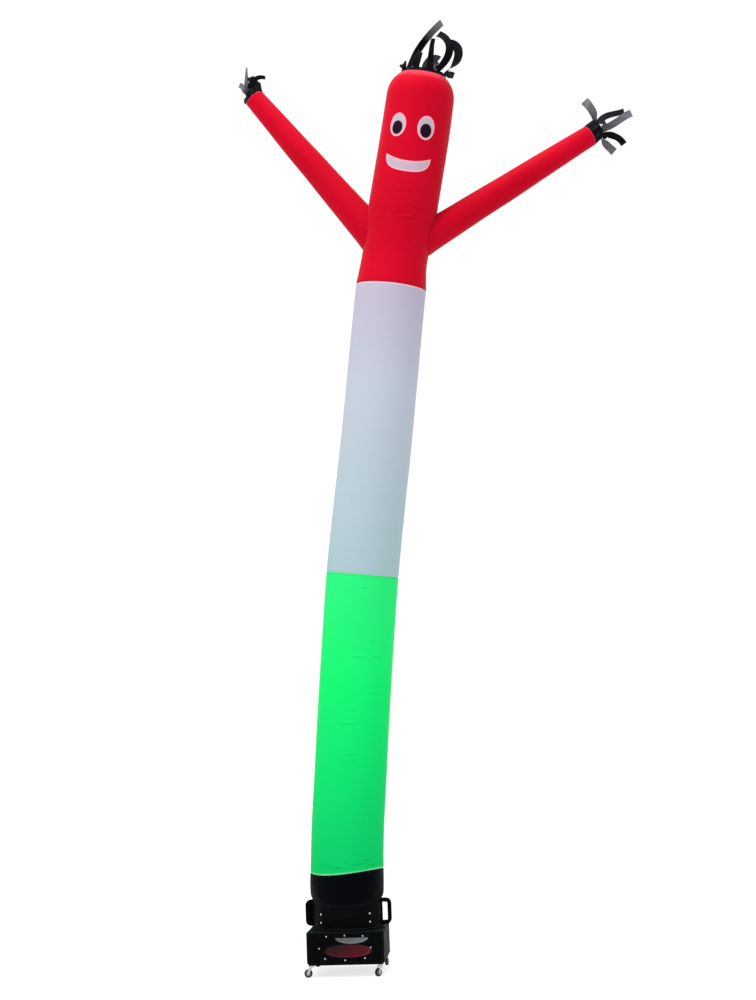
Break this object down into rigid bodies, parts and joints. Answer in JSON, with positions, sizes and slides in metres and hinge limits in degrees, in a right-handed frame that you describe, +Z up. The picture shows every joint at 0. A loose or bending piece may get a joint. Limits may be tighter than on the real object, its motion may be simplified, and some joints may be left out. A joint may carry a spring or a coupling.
{
  "type": "inflatable air dancer on a wheeled blower",
  "caption": "Tall inflatable nylon tube figure in green, white and red with raised arms, ribbon hair and hands and a sewn smiling face, standing on a black moulded blower with casters.",
  "frame": {"origin": "on the floor below the middle of the whole object's box; the blower's upright axis is at X = -0.747, Y = 0.135", "axes": "+Z up along the tube, -Y to the front, where the face looks; the right arm reaches to +X"},
  "size_m": [2.5658, 0.7823, 5.9539],
  "materials": {
    "nylon_red": "satin",
    "nylon_green": "satin",
    "nylon_white": "satin",
    "nylon_black": "satin",
    "moulded_plastic": "matte",
    "sticker_grey": "satin",
    "sticker_red": "satin",
    "zinc_plate": "gloss",
    "tyre_rubber": "matte"
  },
  "bodies": {
    "dancer": {"arm_left": "nylon_red", "arm_right": "nylon_red", "base_sleeve": "nylon_black", "blower_base": "moulded_plastic", "blower_drum": "moulded_plastic", "caster_plate_front_left": "zinc_plate", "caster_plate_front_right": "zinc_plate", "caster_plate_rear_left": "zinc_plate", "caster_plate_rear_right": "zinc_plate", "drum_bolt_1": "zinc_plate", "drum_bolt_2": "zinc_plate", "drum_bolt_3": "zinc_plate", "drum_bolt_4": "zinc_plate", "drum_bolt_5": "zinc_plate", "drum_bolt_6": "zinc_plate", "drum_bolt_7": "zinc_plate", "drum_bolt_8": "zinc_plate", "eye_left": "nylon_white", "eye_right": "nylon_white", "front_plate": "moulded_plastic", "hair_ribbons": "nylon_black", "hand_ribbons_left": "nylon_black", "hand_ribbons_right": "nylon_black", "handle_left": "moulded_plastic", "handle_right": "moulded_plastic", "mouth": "nylon_white", "panel_green": "nylon_green", "panel_red": "nylon_red", "panel_white": "nylon_white", "plate_screw_1": "zinc_plate", "plate_screw_2": "zinc_plate", "plate_screw_3": "zinc_plate", "plate_screw_4": "zinc_plate", "plate_screw_5": "zinc_plate", "plate_screw_6": "zinc_plate", "plate_screw_7": "zinc_plate", "plate_screw_8": "zinc_plate", "pupil_left": "nylon_black", "pupil_right": "nylon_black", "sticker_bottom": "sticker_red", "sticker_top": "sticker_grey"},
    "fork_front_left": {"caster_fork_front_left": "zinc_plate"},
    "wheel_front_left": {"caster_wheel_front_left": "tyre_rubber"},
    "fork_front_right": {"caster_fork_front_right": "zinc_plate"},
    "wheel_front_right": {"caster_wheel_front_right": "tyre_rubber"},
    "fork_rear_left": {"caster_fork_rear_left": "zinc_plate"},
    "wheel_rear_left": {"caster_wheel_rear_left": "tyre_rubber"},
    "fork_rear_right": {"caster_fork_rear_right": "zinc_plate"},
    "wheel_rear_right": {"caster_wheel_rear_right": "tyre_rubber"}
  },
  "joints": [
    {"name": "swivel_front_left", "type": "hinge", "parent": "dancer", "child": "fork_front_left", "pos_m": [-0.959, -0.077, 0.065], "axis": [0, 0, 1], "continuous": true},
    {"name": "roll_front_left", "type": "hinge", "parent": "fork_front_left", "child": "wheel_front_left", "pos_m": [-0.978, -0.077, 0.025], "axis": [0, -1, 0], "continuous": true},
    {"name": "swivel_front_right", "type": "hinge", "parent": "dancer", "child": "fork_front_right", "pos_m": [-0.535, -0.077, 0.065], "axis": [0, 0, 1], "continuous": true},
    {"name": "roll_front_right", "type": "hinge", "parent": "fork_front_right", "child": "wheel_front_right", "pos_m": [-0.54771, -0.09112, 0.025], "axis": [0.7431, -0.6691, 0], "continuous": true},
    {"name": "swivel_rear_left", "type": "hinge", "parent": "dancer", "child": "fork_rear_left", "pos_m": [-0.959, 0.347, 0.065], "axis": [0, 0, 1], "continuous": true},
    {"name": "roll_rear_left", "type": "hinge", "parent": "fork_rear_left", "child": "wheel_rear_left", "pos_m": [-0.97355, 0.35921, 0.025], "axis": [-0.6428, -0.766, 0], "continuous": true},
    {"name": "swivel_rear_right", "type": "hinge", "parent": "dancer", "child": "fork_rear_right", "pos_m": [-0.535, 0.347, 0.065], "axis": [0, 0, 1], "continuous": true},
    {"name": "roll_rear_right", "type": "hinge", "parent": "fork_rear_right", "child": "wheel_rear_right", "pos_m": [-0.5317, 0.36571, 0.025], "axis": [-0.9848, 0.1736, 0], "continuous": true}
  ]
}
